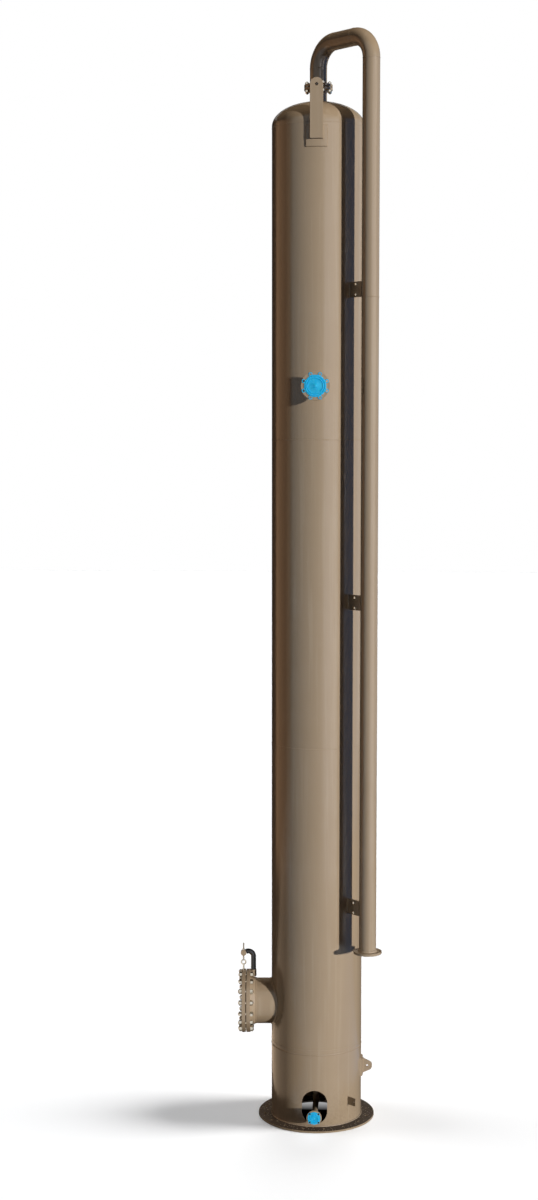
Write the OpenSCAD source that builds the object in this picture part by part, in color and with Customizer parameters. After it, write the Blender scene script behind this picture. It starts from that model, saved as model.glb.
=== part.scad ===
/* [Vessel] */
// Outside diameter of shell, heads and skirt
vessel_od = 914.4; // [700:0.1:1100]
// Plate thickness of shell courses and heads
shell_t = 9.5; // [6:0.5:16]
// Height of one shell course from girth seam to girth seam
course_h = 3048; // [2600:1:3600]
// Straight flange on each head, from its seam to its tangent line
head_flange = 25; // [12:1:60]
// Ratio of half the inside diameter to the inside depth of a head
head_ratio = 2; // [1.6:0.1:3]

/* [Skirt and base ring] */
// Height of the skirt from the base ring to its weld on the lower head
skirt_h = 730; // [660:1:900]
// Plate thickness of the skirt
skirt_t = 9.5; // [6:0.5:16]
// How far the skirt weld sits below the tangent line of the lower head
skirt_drop = 23; // [10:1:40]
// Distance that the base ring stands out from the skirt
ring_out = 132.8; // [110:0.1:180]
// Distance that the base ring reaches in from the outside of the skirt
ring_in = 152.2; // [60:0.1:200]
// Thickness of the base ring
ring_t = 19; // [12:1:40]
// Distance from the skirt to the anchor bolt circle
anchor_out = 69.8; // [50:0.1:75]
// Number of anchor bolt holes
anchor_n = 16; // [8:4:24]
// Diameter of an anchor bolt hole
anchor_hole_d = 28; // [18:1:36]
// Width of the access opening in the skirt
access_w = 254; // [200:1:300]
// Height of the access opening in the skirt
access_h = 342; // [310:1:380]
// Height of the lowest point of the access opening above the base ring
access_z = 26; // [15:1:50]

/* [Six inch pipe and flanges] */
// Outside diameter of the vapour pipe and its nozzles
pipe_od = 168.3; // [140:0.1:190]
// Wall of the vapour pipe
pipe_t = 7.1; // [5:0.1:12]
// Centreline radius of the long radius elbows
elbow_r = 228.6; // [200:0.1:260]
// Outside diameter of a flange
flange_od = 279.4; // [270:0.1:320]
// Thickness of a flange over its raised face
flange_t = 25.4; // [19:0.1:40]
// Diameter of the raised face
face_d = 215.9; // [200:0.1:218]
// Length of a flange through its hub
hub_l = 39.6; // [34:0.1:60]
// Diameter of the hub of a flange
hub_d = 192; // [191:0.5:200]
// Diameter of the flange bolt circle
bolt_pcd = 241.3; // [238:0.1:246]
// Number of flange bolts
bolt_n = 8; // [4:4:12]
// Diameter of a flange bolt hole
bolt_hole_d = 22.2; // [20:0.1:24]
// Diameter of a flange stud
stud_d = 19; // [12:0.5:19.5]
// Width of a stud nut across flats
nut_af = 31.8; // [28:0.1:34]
// Height of a stud nut
nut_h = 18.7; // [12:0.1:24]

/* [Vapour outlet] */
// Height of the top flange joint above the crown of the top head
outlet_rise = 138; // [120:1:200]
// Height of the crossover centreline above the top flange joint
crossover_rise = 413; // [380:1:520]
// Clear distance from the shell to the downcomer
downcomer_out = 200.65; // [150:0.05:300]
// Bearing of the downcomer, from the front towards the manway's far side
downcomer_bearing = 45; // [30:1:60]
// Height of the open flange face of the downcomer above the lowest girth seam
downcomer_up = 1026; // [700:1:1250]
// Length of the lowest pipe of the downcomer, above its flange
downcomer_foot_l = 600; // [500:1:800]

/* [Downcomer brackets] */
// Height of each bracket above the lower seam of its shell course
bracket_up = 1454; // [1400:1:1700]
// Height of a bracket clip plate
clip_h = 150; // [130:1:200]
// Thickness of a clip plate
clip_t = 9.5; // [6:0.5:14]
// Distance from the free end of each clip to the shell or pipe that it points at
clip_clear = 35; // [25:1:45]
// Spacing of the two bolts of a bracket
clip_bolt_pitch = 100; // [60:1:110]
// Diameter of a bracket bolt
clip_bolt_d = 16; // [10:0.5:20]
// Clearance round a bracket bolt in its holes
clip_bolt_gap = 0.5; // [0.3:0.1:1]

/* [Side nozzle] */
// Height of the side nozzle above the lower seam of the top shell course
side_nozzle_up = 518; // [300:1:900]
// Distance from the shell to the flange face of the side nozzle
side_nozzle_reach = 178; // [150:1:260]

/* [Manway] */
// Height of the manway centre above the lowest girth seam
manway_up = 381; // [340:1:480]
// Bearing of the manway, from the front towards the downcomer's side
manway_bearing = -87; // [-100:1:-80]
// Outside diameter of the manway neck
manway_od = 457.2; // [400:0.1:480]
// Wall of the manway neck
manway_t = 9.5; // [6:0.5:14]
// Distance from the shell to the flange face of the manway
manway_reach = 258; // [240:1:320]
// Thickness of the manway flange and of the cover over the raised face
manway_flange_t = 39.7; // [25:0.1:50]
// Wall of the manway flange hub round the neck, where the hub meets the flange
manway_hub_wall = 23.9; // [18:0.1:30]
// Wall of the manway flange hub round the neck, at its thin end
manway_hub_lip = 2.4; // [1.5:0.1:4]
// Length of the manway flange through its tapered hub
manway_hub_l = 97; // [70:0.1:110]
// Distance from the manway flange hub to the bolt circle
manway_bolt_out = 36.45; // [32:0.05:45]
// Distance from the manway bolt circle to the rim of the flange and cover
manway_rim = 28.55; // [24:0.05:40]
// Distance from the manway bolt circle in to the edge of the raised faces
manway_face_in = 22.25; // [18:0.05:28]
// Number of manway bolts
manway_n = 16; // [12:4:20]
// Diameter of a manway bolt hole
manway_hole_d = 31.8; // [30:0.1:34]
// Diameter of a manway stud
manway_stud_d = 28.6; // [20:0.1:29]
// Width of a manway nut across flats
manway_nut_af = 46; // [40:0.5:48]
// Height of a manway nut
manway_nut_h = 28.2; // [20:0.1:32]

/* [Manway davit] */
// Diameter of the davit bar
davit_d = 50.8; // [44:0.1:56]
// Centreline radius of the davit bend
davit_bend_r = 54; // [52:1:58]
// Angle through which the davit bar bends over
davit_turn = 112; // [106:1:114]
// Height of the centre of the davit bend above the rim of the manway flange
davit_rise = 142; // [130:1:200]
// Wall of the davit socket
socket_t = 4; // [3:0.5:5]
// Clearance of the davit socket above the hub of the manway flange
socket_clear = 3; // [1:0.5:6]
// Length of the davit socket that stands above the rim of the flange
socket_above = 8; // [4:1:20]
// Thickness of the block that joins the davit socket to the back of the flange
socket_block_t = 2; // [1:0.5:8]
// Width of the block that joins the davit socket to the back of the flange
socket_block_w = 44; // [30:1:50]
// Clearance of the davit bar in its socket
socket_gap = 0.5; // [0.3:0.1:1]
// Diameter of the boss on the end of the davit
boss_d = 58; // [50:1:64]
// Length of the boss on the end of the davit
boss_l = 44; // [36:1:60]
// Diameter of the lifting screw
screw_d = 14; // [10:0.5:16]
// Length of the lifting screw that shows above the boss
screw_above = 70; // [40:1:100]
// Clearance of the lifting screw in the boss
screw_gap = 0.4; // [0.3:0.1:1]
// Height of the middle of the lifting eye above the rim of the cover
eye_rise = 82; // [70:1:100]
// Thickness of the steel of the lifting eye
eye_wire_d = 13; // [10:0.5:15]
// Diameter of the lifting eye over the middle of its steel
eye_d = 45; // [40:1:50]
// Diameter of the stem of the lifting eye
eye_stem_d = 16; // [12:0.5:18]

/* [Drain] */
// Outside diameter of the drain pipe
drain_od = 60.3; // [48:0.1:66]
// Wall of the drain pipe
drain_t = 5.5; // [3:0.1:8]
// Centreline radius of the drain elbow
drain_elbow_r = 76.2; // [70:0.1:100]
// Height of the drain flange centre above the ground
drain_z = 148; // [140:1:180]
// Distance from the vessel axis to the drain flange face
drain_reach = 575; // [560:1:640]
// Outside diameter of the drain flange
drain_flange_od = 152.4; // [150:0.1:165]
// Thickness of the drain flange over its raised face
drain_flange_t = 19.1; // [14:0.1:26]
// Diameter of the drain raised face
drain_face_d = 92.1; // [85:0.1:98]
// Length of the drain flange through its hub
drain_hub_l = 25.4; // [24:0.1:40]
// Diameter of the drain flange hub
drain_hub_d = 78; // [74:0.5:86]
// Diameter of the drain bolt circle
drain_pcd = 120.7; // [118:0.1:124]
// Number of drain flange bolts
drain_n = 4; // [4:4:8]
// Diameter of a drain bolt hole
drain_hole_d = 19.1; // [16:0.1:20]

/* [Flange caps] */
// Thickness of a plastic flange cap
cap_t = 4; // [2:0.5:6]
// Height of the moulded ring on a flange cap
cap_ring_h = 4; // [2:0.5:8]
// Width of plastic round each bolt hole of a flange cap
cap_ear = 8; // [5:0.5:8.5]
// Distance from the round disc of a flange cap to its bolt holes
cap_inset = 2; // [1:0.5:4]
// Width of the moulded rings on a flange cap
cap_ring_w = 7; // [4:0.5:12]
// Width of the flat between the bolt ears and the outer moulded ring of a flange cap
cap_rim = 2; // [1:0.5:4]
// Width of the flat between the two moulded rings of a flange cap
cap_flat = 12; // [8:0.5:16]

/* [Lifting lugs] */
// Distance from the top girth seam down to the middle of the lug pads
lug_pad_down = 135; // [110:1:300]
// Width of a lug pad round the shell
lug_pad_w = 203; // [180:1:240]
// Height of a lug pad
lug_pad_h = 200; // [180:1:230]
// Thickness of a lug pad
lug_pad_t = 12.7; // [9:0.1:20]
// Width of a lifting lug
lug_w = 127; // [110:1:160]
// Thickness of a lifting lug
lug_t = 25.4; // [19:0.1:32]
// Height from the foot of a lifting lug to its hole
lug_reach = 510; // [440:1:580]
// Height of the foot of a lifting lug above the foot of its pad
lug_foot = 73; // [20:1:90]
// Diameter of the hole in a lifting lug
lug_hole_d = 32; // [25:1:50]

/* [Tailing lug] */
// Height of the tailing lug above the ground
tail_z = 511; // [480:1:560]
// Distance from the skirt to the hole of the tailing lug
tail_reach = 63; // [50:1:90]
// Radius of the rounded end of the tailing lug
tail_end_r = 50; // [40:1:60]
// Height of the root of the tailing lug
tail_root_h = 150; // [130:1:180]
// How far the sides of the tailing lug run inside its rounded end
tail_blend = 1; // [0.5:0.1:3]
// Thickness of the tailing lug
tail_t = 25.4; // [19:0.1:32]
// Diameter of the hole in the tailing lug
tail_hole_d = 24; // [18:1:38]
// Width of the pad behind the tailing lug
tail_pad_w = 150; // [90:1:180]
// Height of the pad behind the tailing lug
tail_pad_h = 180; // [165:1:260]
// Thickness of the pad behind the tailing lug
tail_pad_t = 19; // [9:0.5:25]

/* [Grounding lug] */
// Height of the middle of the grounding lug above the ground
earth_z = 248; // [150:1:300]
// Bearing of the grounding lug, from the front towards the manway's far side
earth_bearing = 47; // [30:1:60]
// Distance that the grounding lug stands out of the skirt
earth_reach = 105; // [70:1:130]
// Height of the grounding lug
earth_h = 80; // [60:1:120]
// Thickness of the grounding lug
earth_t = 9.5; // [6:0.5:14]
// Diameter of the hole in the grounding lug
earth_hole_d = 14; // [10:1:18]
// Distance from the outer edge of the grounding lug to its hole
earth_hole_edge = 22; // [16:1:28]

/* [Fits] */
// Gap between a pipe and the plate that it is welded through
weld_gap = 0.3; // [0.2:0.1:0.5]
// Thickness of a compressed flange gasket
gasket_t = 4.5; // [3:0.1:6]
// Height of a flange raised face
face_h = 1.6; // [1:0.1:3]
// Length of stud that shows beyond a nut
stud_end = 7; // [3:0.5:12]
// How much the hub of a flange narrows towards its pipe, on the radius
hub_draft = 3; // [1:0.5:4]

/* [Hidden] */

$fn = 96;
tan_paint = [0.67, 0.60, 0.51];
zinc = [0.72, 0.72, 0.70];
black_paint = [0.08, 0.08, 0.08];
blue_plastic = [0.12, 0.66, 0.92];
graphite = [0.18, 0.18, 0.18];

// Overshoot of a cutting tool past the face that it cuts
cut = 1;
vessel_r = vessel_od / 2;
ring_od = vessel_od + 2 * ring_out;
ring_id = vessel_od - 2 * ring_in;
anchor_pcd = vessel_od + 2 * anchor_out;
shell_bore_r = vessel_r - shell_t;
pipe_r = pipe_od / 2;
pipe_bore_r = pipe_r - pipe_t;
drain_r = drain_od / 2;

// Levels up the tower
skirt_top = ring_t + skirt_h;
low_tangent = skirt_top + skirt_drop;
low_seam = low_tangent + head_flange;
top_seam = low_seam + 3 * course_h;
top_tangent = top_seam + head_flange;
head_depth = shell_bore_r / head_ratio;
crown_z = top_tangent + head_depth + shell_t;
sump_z = low_tangent - head_depth - shell_t;
outlet_z = crown_z + outlet_rise;
crossover_z = outlet_z + crossover_rise;
downcomer_r = vessel_r + downcomer_out + pipe_r;
downcomer_z = low_seam + downcomer_up;
downcomer_hub_z = downcomer_z + hub_l;
downcomer_foot_top = downcomer_hub_z + downcomer_foot_l;
side_nozzle_z = low_seam + 2 * course_h + side_nozzle_up;
manway_z = low_seam + manway_up;
lug_pad_z = top_seam - lug_pad_down;
bracket_levels = [for (i = [0:2]) low_seam + i * course_h + bracket_up];

// Diameters of the manway flange and cover
manway_hub_d = manway_od + 2 * manway_hub_wall;
manway_pcd = manway_hub_d + 2 * manway_bolt_out;
manway_flange_od = manway_pcd + 2 * manway_rim;
manway_face_d = manway_pcd - 2 * manway_face_in;

// Places round the manway, measured along its axis from the vessel axis
manway_face = vessel_r + manway_reach;
manway_back = manway_face - manway_flange_t;
cover_face = manway_face + gasket_t;
cover_back = cover_face + manway_flange_t;
manway_rim_z = manway_z + manway_flange_od / 2;
socket_r = davit_d / 2 + socket_gap + socket_t;
socket_foot = manway_z + manway_hub_d / 2 + socket_clear;
socket_l = manway_rim_z + socket_above - socket_foot;
davit_x = manway_back - socket_block_t - socket_r;
davit_bend_z = manway_rim_z + davit_rise;
boss_x = davit_x + davit_bend_r * (1 - cos(davit_turn)) + boss_d / 2 * sin(davit_turn);
boss_z = davit_bend_z + davit_bend_r * sin(davit_turn) + boss_d / 2 * cos(davit_turn);
eye_z = manway_rim_z + eye_rise;
eye_r = eye_d / 2;
eye_top = eye_z + eye_r + eye_wire_d / 2;

// Places on the bracket clips, measured from the vessel axis
clip_middle = vessel_r + downcomer_out / 2;
clip_lap = downcomer_out - 2 * clip_clear;

lug_foot_z = lug_pad_z - lug_pad_h / 2 + lug_foot;
lug_hole_z = lug_foot_z + lug_reach;
lug_face = vessel_r + lug_pad_t;
tail_root = vessel_r + tail_pad_t;
tail_hole_x = vessel_r + tail_reach;

// Turns a piece drawn along +X to a bearing from the front of the tower
module at_bearing(bearing) {
    rotate([0, 0, bearing - 90]) children();
}

// Lays a piece drawn along +Z so that it points along +X
module along_x() {
    rotate([0, 90, 0]) children();
}

// A straight pipe from level z0 to level z1
module tube(outer_r, wall, z0, z1) {
    translate([0, 0, z0])
    difference() {
        cylinder(h = z1 - z0, r = outer_r);
        translate([0, 0, -cut]) cylinder(h = z1 - z0 + 2 * cut, r = outer_r - wall);
    }
}

// A bend of pipe that rises from the origin and turns towards +X
module bend(bend_r, outer_r, inner_r, turn = 90) {
    translate([bend_r, 0, 0])
    rotate([90, 0, 0])
    rotate_extrude(start = 180 - turn, angle = turn)
    translate([bend_r, 0])
    difference() {
        circle(r = outer_r);
        if (inner_r > 0) circle(r = inner_r);
    }
}

// Half of a dished head in section, as points from the tangent line to the crown
function dish(a, b) = [for (i = [0:24]) [a * cos(i * 3.75), b * sin(i * 3.75)]];

// The space that a head and its straight flange fill, crown up, with the tangent line at z 0
module head_space(radius, depth, flange) {
    rotate_extrude()
    polygon(concat([[0, -flange], [radius, -flange]], dish(radius, depth)));
}

module dished_head() {
    difference() {
        head_space(vessel_r, head_depth + shell_t, head_flange);
        head_space(shell_bore_r, head_depth, head_flange + cut);
    }
}

// Places one child at each bolt of a circle, the pattern straddling the centre lines
module bolt_circle(pcd, count) {
    for (i = [0:count - 1])
        rotate([0, 0, (i + 0.5) * 360 / count])
        translate([pcd / 2, 0, 0])
        children();
}

// A low hubbed flange with its face at z 0 and its hub below
module hub_flange(od, thick, face, hub, length, draft, bore, pcd, count, hole) {
    difference() {
        rotate_extrude()
        polygon([
            [bore, 0], [face / 2, 0], [face / 2, -face_h], [od / 2, -face_h], [od / 2, -thick],
            [hub / 2, -thick], [hub / 2 - draft, -length], [bore, -length]
        ]);
        bolt_circle(pcd, count)
            translate([0, 0, -thick - cut])
            cylinder(h = thick + 2 * cut, d = hole);
    }
}

module vapour_flange() {
    hub_flange(flange_od, flange_t, face_d, hub_d, hub_l, hub_draft, pipe_bore_r,
        bolt_pcd, bolt_n, bolt_hole_d);
}

// A stud with a nut at each end, its middle at z 0 and the nuts seated on the grip
module stud(d, grip, af, height) {
    stud_l = grip + 2 * (height + stud_end);
    translate([0, 0, -stud_l / 2]) cylinder(h = stud_l, d = d);
    for (side = [0, 1])
        mirror([0, 0, side])
        translate([0, 0, grip / 2])
        cylinder(h = height, d = af / cos(30), $fn = 6);
}

// A moulded cap that covers a flange face, with one ear round each bolt hole
module flange_cap(pcd, count, hole) {
    disc_r = (pcd - hole) / 2 - cap_inset;
    ear_r = hole / 2 + cap_ear;
    outer_r = pcd / 2 - ear_r - cap_rim;
    inner_r = outer_r - cap_ring_w - cap_flat;
    union() {
        linear_extrude(cap_t)
        difference() {
            union() {
                circle(r = disc_r);
                bolt_circle(pcd, count) circle(r = ear_r);
            }
            bolt_circle(pcd, count) circle(d = hole);
        }
        for (ring_r = [inner_r, outer_r])
            tube(ring_r, cap_ring_w, cap_t / 2, cap_t + cap_ring_h);
    }
}

// A rolled pad on the outside of the shell, facing +X, with its middle at level z
module rolled_pad(width, height, thick, z) {
    intersection() {
        tube(vessel_r + thick, thick, z - height / 2, z + height / 2);
        translate([0, -width / 2, z - height / 2]) cube([vessel_od, width, height]);
    }
}

module base_ring() {
    color(tan_paint)
    difference() {
        cylinder(h = ring_t, d = ring_od);
        translate([0, 0, -cut]) cylinder(h = ring_t + 2 * cut, d = ring_id);
        bolt_circle(anchor_pcd, anchor_n)
            translate([0, 0, -cut])
            cylinder(h = ring_t + 2 * cut, d = anchor_hole_d);
    }
}

// The access opening as a slot with round ends, cut through the front of the skirt
module access_slot() {
    low = ring_t + access_z + access_w / 2;
    high = ring_t + access_z + access_h - access_w / 2;
    at_bearing(0)
    along_x() {
        translate([-low, 0, 0]) cylinder(h = vessel_od, d = access_w);
        translate([-high, 0, 0]) cylinder(h = vessel_od, d = access_w);
        translate([-high, -access_w / 2, 0]) cube([high - low, access_w, vessel_od]);
    }
}

module skirt() {
    color(tan_paint)
    difference() {
        tube(vessel_r, skirt_t, ring_t, skirt_top);
        translate([0, 0, low_tangent])
            mirror([0, 0, 1])
            head_space(vessel_r, head_depth + shell_t, 0);
        access_slot();
    }
}

module bottom_head() {
    color(tan_paint)
    difference() {
        translate([0, 0, low_tangent]) mirror([0, 0, 1]) dished_head();
        translate([0, 0, sump_z - cut]) cylinder(h = 2 * shell_t + cut, r = drain_r + weld_gap);
    }
}

// One course of the shell, counted from 0 at the bottom
module shell_course(index) {
    low = low_seam + index * course_h;
    tube(vessel_r, shell_t, low, low + course_h);
}

module shell_lower() {
    color(tan_paint)
    difference() {
        shell_course(0);
        translate([0, 0, manway_z])
            at_bearing(manway_bearing)
            along_x()
            cylinder(h = vessel_od, d = manway_od + 2 * weld_gap);
    }
}

module shell_middle() {
    color(tan_paint)
    shell_course(1);
}

module shell_upper() {
    color(tan_paint)
    difference() {
        shell_course(2);
        translate([0, 0, side_nozzle_z])
            at_bearing(0)
            along_x()
            cylinder(h = vessel_od, r = pipe_r + weld_gap);
    }
}

module top_head() {
    color(tan_paint)
    difference() {
        translate([0, 0, top_tangent]) dished_head();
        translate([0, 0, crown_z - 4 * shell_t]) cylinder(h = 5 * shell_t, r = pipe_r + weld_gap);
    }
}

// Places the pieces of the vapour outlet from the middle of the top flange joint
module on_top_joint() {
    translate([0, 0, outlet_z]) children();
}

module top_nozzle() {
    face_z = -gasket_t / 2;
    color(tan_paint)
    on_top_joint()
    union() {
        translate([0, 0, face_z]) vapour_flange();
        tube(pipe_r, pipe_t, -outlet_rise - 2 * shell_t, face_z - hub_l);
    }
}

module top_gasket() {
    color(graphite)
    on_top_joint()
    tube(face_d / 2, face_d / 2 - pipe_r, -gasket_t / 2, gasket_t / 2);
}

// The flange that stands on the top nozzle, with the short riser above it
module riser_flange() {
    face_z = gasket_t / 2;
    color(tan_paint)
    on_top_joint()
    union() {
        translate([0, 0, face_z]) mirror([0, 0, 1]) vapour_flange();
        tube(pipe_r, pipe_t, face_z + hub_l, crossover_rise - elbow_r);
    }
}

module top_studs() {
    color(zinc)
    on_top_joint()
    bolt_circle(bolt_pcd, bolt_n)
    stud(stud_d, gasket_t + 2 * flange_t, nut_af, nut_h);
}

module inner_elbow() {
    color(tan_paint)
    on_top_joint()
    at_bearing(downcomer_bearing)
    translate([0, 0, crossover_rise - elbow_r])
    bend(elbow_r, pipe_r, pipe_bore_r);
}

module crossover() {
    color(tan_paint)
    on_top_joint()
    at_bearing(downcomer_bearing)
    translate([0, 0, crossover_rise])
    along_x()
    tube(pipe_r, pipe_t, elbow_r, downcomer_r - elbow_r);
}

module outer_elbow() {
    color(tan_paint)
    on_top_joint()
    at_bearing(downcomer_bearing)
    translate([downcomer_r, 0, crossover_rise - elbow_r])
    mirror([1, 0, 0])
    bend(elbow_r, pipe_r, pipe_bore_r);
}

module downcomer() {
    color(tan_paint)
    at_bearing(downcomer_bearing)
    translate([downcomer_r, 0, 0])
    tube(pipe_r, pipe_t, downcomer_foot_top, crossover_z - elbow_r);
}

// The lowest pipe of the downcomer, welded to its flange
module downcomer_foot() {
    color(tan_paint)
    at_bearing(downcomer_bearing)
    translate([downcomer_r, 0, 0])
    tube(pipe_r, pipe_t, downcomer_hub_z, downcomer_foot_top);
}

module downcomer_flange() {
    color(tan_paint)
    at_bearing(downcomer_bearing)
    translate([downcomer_r, 0, downcomer_z])
    mirror([0, 0, 1])
    vapour_flange();
}

// Places a child at each of the two bolts of the bracket at level z
module clip_bolt_places(z) {
    for (side = [-1, 1])
        translate([clip_middle, 0, z + side * clip_bolt_pitch / 2])
        rotate([90, 0, 0])
        children();
}

module clip_bolt_holes(z) {
    clip_bolt_places(z)
        cylinder(h = 4 * clip_t, d = clip_bolt_d + 2 * clip_bolt_gap, center = true);
}

// The clip welded to the shell, on the near side of the bracket's middle plane
module shell_clip(z) {
    color(tan_paint)
    at_bearing(downcomer_bearing)
    difference() {
        translate([0, -clip_t, z - clip_h / 2]) cube([clip_middle + clip_lap / 2, clip_t, clip_h]);
        translate([0, 0, z - clip_h]) cylinder(h = 2 * clip_h, r = vessel_r);
        clip_bolt_holes(z);
    }
}

// The clip welded to the downcomer, on the far side of the bracket's middle plane
module pipe_clip(z) {
    near = clip_middle - clip_lap / 2;
    color(tan_paint)
    at_bearing(downcomer_bearing)
    difference() {
        translate([near, 0, z - clip_h / 2]) cube([downcomer_r - near, clip_t, clip_h]);
        translate([downcomer_r, 0, z - clip_h]) cylinder(h = 2 * clip_h, r = pipe_r);
        clip_bolt_holes(z);
    }
}

module shell_clip_low() { shell_clip(bracket_levels[0]); }
module shell_clip_middle() { shell_clip(bracket_levels[1]); }
module shell_clip_high() { shell_clip(bracket_levels[2]); }
module pipe_clip_low() { pipe_clip(bracket_levels[0]); }
module pipe_clip_middle() { pipe_clip(bracket_levels[1]); }
module pipe_clip_high() { pipe_clip(bracket_levels[2]); }

module clip_bolts() {
    color(zinc)
    at_bearing(downcomer_bearing)
    for (z = bracket_levels)
        clip_bolt_places(z)
        stud(clip_bolt_d, 2 * clip_t, clip_bolt_d * 1.5, clip_bolt_d * 0.8);
}

module side_nozzle() {
    face = vessel_r + side_nozzle_reach;
    color(tan_paint)
    translate([0, 0, side_nozzle_z])
    at_bearing(0)
    along_x()
    union() {
        translate([0, 0, face]) vapour_flange();
        tube(pipe_r, pipe_t, vessel_r - 2 * shell_t, face - hub_l);
    }
}

module side_nozzle_cap() {
    color(blue_plastic)
    translate([0, 0, side_nozzle_z])
    at_bearing(0)
    along_x()
    translate([0, 0, vessel_r + side_nozzle_reach])
    flange_cap(bolt_pcd, bolt_n, bolt_hole_d);
}

// Lays a piece drawn along +Z on the axis of the manway
module on_manway() {
    translate([0, 0, manway_z])
    at_bearing(manway_bearing)
    along_x()
    children();
}

module manway_neck() {
    color(tan_paint)
    difference() {
        on_manway() tube(manway_od / 2, manway_t, 0, manway_face - face_h);
        translate([0, 0, manway_z - manway_od]) cylinder(h = 2 * manway_od, r = shell_bore_r);
    }
}

module manway_flange() {
    bore = manway_od / 2 + weld_gap;
    color(tan_paint)
    on_manway()
    translate([0, 0, manway_face])
    hub_flange(manway_flange_od, manway_flange_t, manway_face_d, manway_hub_d, manway_hub_l,
        manway_hub_wall - manway_hub_lip, bore, manway_pcd, manway_n, manway_hole_d);
}

module manway_gasket() {
    color(graphite)
    on_manway()
    tube(manway_face_d / 2, (manway_face_d - manway_od) / 2, manway_face, cover_face);
}

module manway_cover() {
    color(tan_paint)
    on_manway()
    difference() {
        union() {
            translate([0, 0, cover_face]) cylinder(h = face_h, d = manway_face_d);
            translate([0, 0, cover_face + face_h])
                cylinder(h = manway_flange_t - face_h, d = manway_flange_od);
        }
        bolt_circle(manway_pcd, manway_n)
            translate([0, 0, cover_face])
            cylinder(h = manway_flange_t + cut, d = manway_hole_d);
    }
}

module manway_studs() {
    color(zinc)
    on_manway()
    translate([0, 0, manway_face + gasket_t / 2])
    bolt_circle(manway_pcd, manway_n)
    stud(manway_stud_d, gasket_t + 2 * manway_flange_t, manway_nut_af, manway_nut_h);
}

// A sleeve behind the rim of the manway flange that carries the davit
module davit_socket() {
    color(tan_paint)
    at_bearing(manway_bearing)
    difference() {
        union() {
            translate([davit_x, 0, socket_foot]) cylinder(h = socket_l, r = socket_r);
            translate([davit_x, -socket_block_w / 2, socket_foot])
                cube([manway_back - davit_x, socket_block_w, socket_l - socket_above]);
        }
        translate([davit_x, 0, socket_foot + socket_t]) cylinder(h = socket_l, r = socket_r - socket_t);
    }
}

// The bent bar, from the floor of its socket up and over towards the cover
module davit_arm() {
    foot_z = socket_foot + socket_t;
    color(black_paint)
    at_bearing(manway_bearing)
    translate([davit_x, 0, 0])
    union() {
        translate([0, 0, foot_z]) cylinder(h = davit_bend_z - foot_z, d = davit_d);
        translate([0, 0, davit_bend_z]) bend(davit_bend_r, davit_d / 2, 0, davit_turn);
    }
}

// A cross boss on the end of the davit, drilled for the lifting screw
module davit_boss() {
    color(tan_paint)
    at_bearing(manway_bearing)
    translate([boss_x, 0, boss_z])
    difference() {
        rotate([90, 0, 0]) cylinder(h = boss_l, d = boss_d, center = true);
        cylinder(h = 2 * boss_d, d = screw_d + 2 * screw_gap, center = true);
    }
}

// The lifting screw hangs from a nut on the boss and ends on the lifting eye
module davit_screw() {
    nut_z = boss_z + boss_d / 2;
    color(zinc)
    at_bearing(manway_bearing)
    translate([boss_x, 0, 0])
    union() {
        translate([0, 0, eye_top]) cylinder(h = nut_z + screw_above - eye_top, d = screw_d);
        translate([0, 0, nut_z]) cylinder(h = screw_d * 0.8, d = screw_d * 1.7, $fn = 6);
    }
}

// The lifting eye, on a stem that stands on the rim of the cover
module cover_eye() {
    color(zinc)
    at_bearing(manway_bearing)
    difference() {
        union() {
            translate([boss_x, 0, eye_z])
                rotate([90, 0, 0])
                rotate_extrude()
                translate([eye_r, 0])
                circle(d = eye_wire_d);
            translate([boss_x, 0, manway_z]) cylinder(h = eye_z - eye_r - manway_z, d = eye_stem_d);
        }
        translate([0, 0, manway_z]) along_x() cylinder(h = 2 * manway_face, d = manway_flange_od);
    }
}

// The drain line, down from the lower head and out through the access opening
module drain_pipe() {
    run_z = drain_z + drain_elbow_r;
    color(tan_paint)
    at_bearing(0)
    union() {
        tube(drain_r, drain_t, run_z, sump_z + 2 * shell_t);
        translate([0, 0, run_z]) mirror([0, 0, 1]) bend(drain_elbow_r, drain_r, drain_r - drain_t);
        translate([0, 0, drain_z]) along_x() tube(drain_r, drain_t, drain_elbow_r, drain_reach - drain_hub_l);
    }
}

// Lays a piece drawn along +Z on the face of the drain flange
module on_drain() {
    translate([0, 0, drain_z])
    at_bearing(0)
    along_x()
    translate([0, 0, drain_reach])
    children();
}

module drain_flange() {
    color(tan_paint)
    on_drain()
    hub_flange(drain_flange_od, drain_flange_t, drain_face_d, drain_hub_d, drain_hub_l, hub_draft,
        drain_r - drain_t, drain_pcd, drain_n, drain_hole_d);
}

module drain_cap() {
    color(blue_plastic)
    on_drain()
    flange_cap(drain_pcd, drain_n, drain_hole_d);
}

module lug_pad(bearing) {
    color(tan_paint)
    at_bearing(bearing)
    rolled_pad(lug_pad_w, lug_pad_h, lug_pad_t, lug_pad_z);
}

// A flat bar with a rounded, drilled top, standing on its pad and rising past the head
module lifting_lug(bearing) {
    color(tan_paint)
    at_bearing(bearing)
    translate([lug_face, 0, 0])
    difference() {
        union() {
            translate([0, -lug_w / 2, lug_foot_z]) cube([lug_t, lug_w, lug_reach]);
            translate([0, 0, lug_hole_z]) along_x() cylinder(h = lug_t, d = lug_w);
        }
        translate([-cut, 0, lug_hole_z]) along_x() cylinder(h = lug_t + 2 * cut, d = lug_hole_d);
    }
}

module front_lug_pad() { lug_pad(0); }
module back_lug_pad() { lug_pad(180); }
module front_lifting_lug() { lifting_lug(0); }
module back_lifting_lug() { lifting_lug(180); }

module tailing_pad() {
    color(tan_paint)
    at_bearing(90)
    rolled_pad(tail_pad_w, tail_pad_h, tail_pad_t, tail_z);
}

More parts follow.
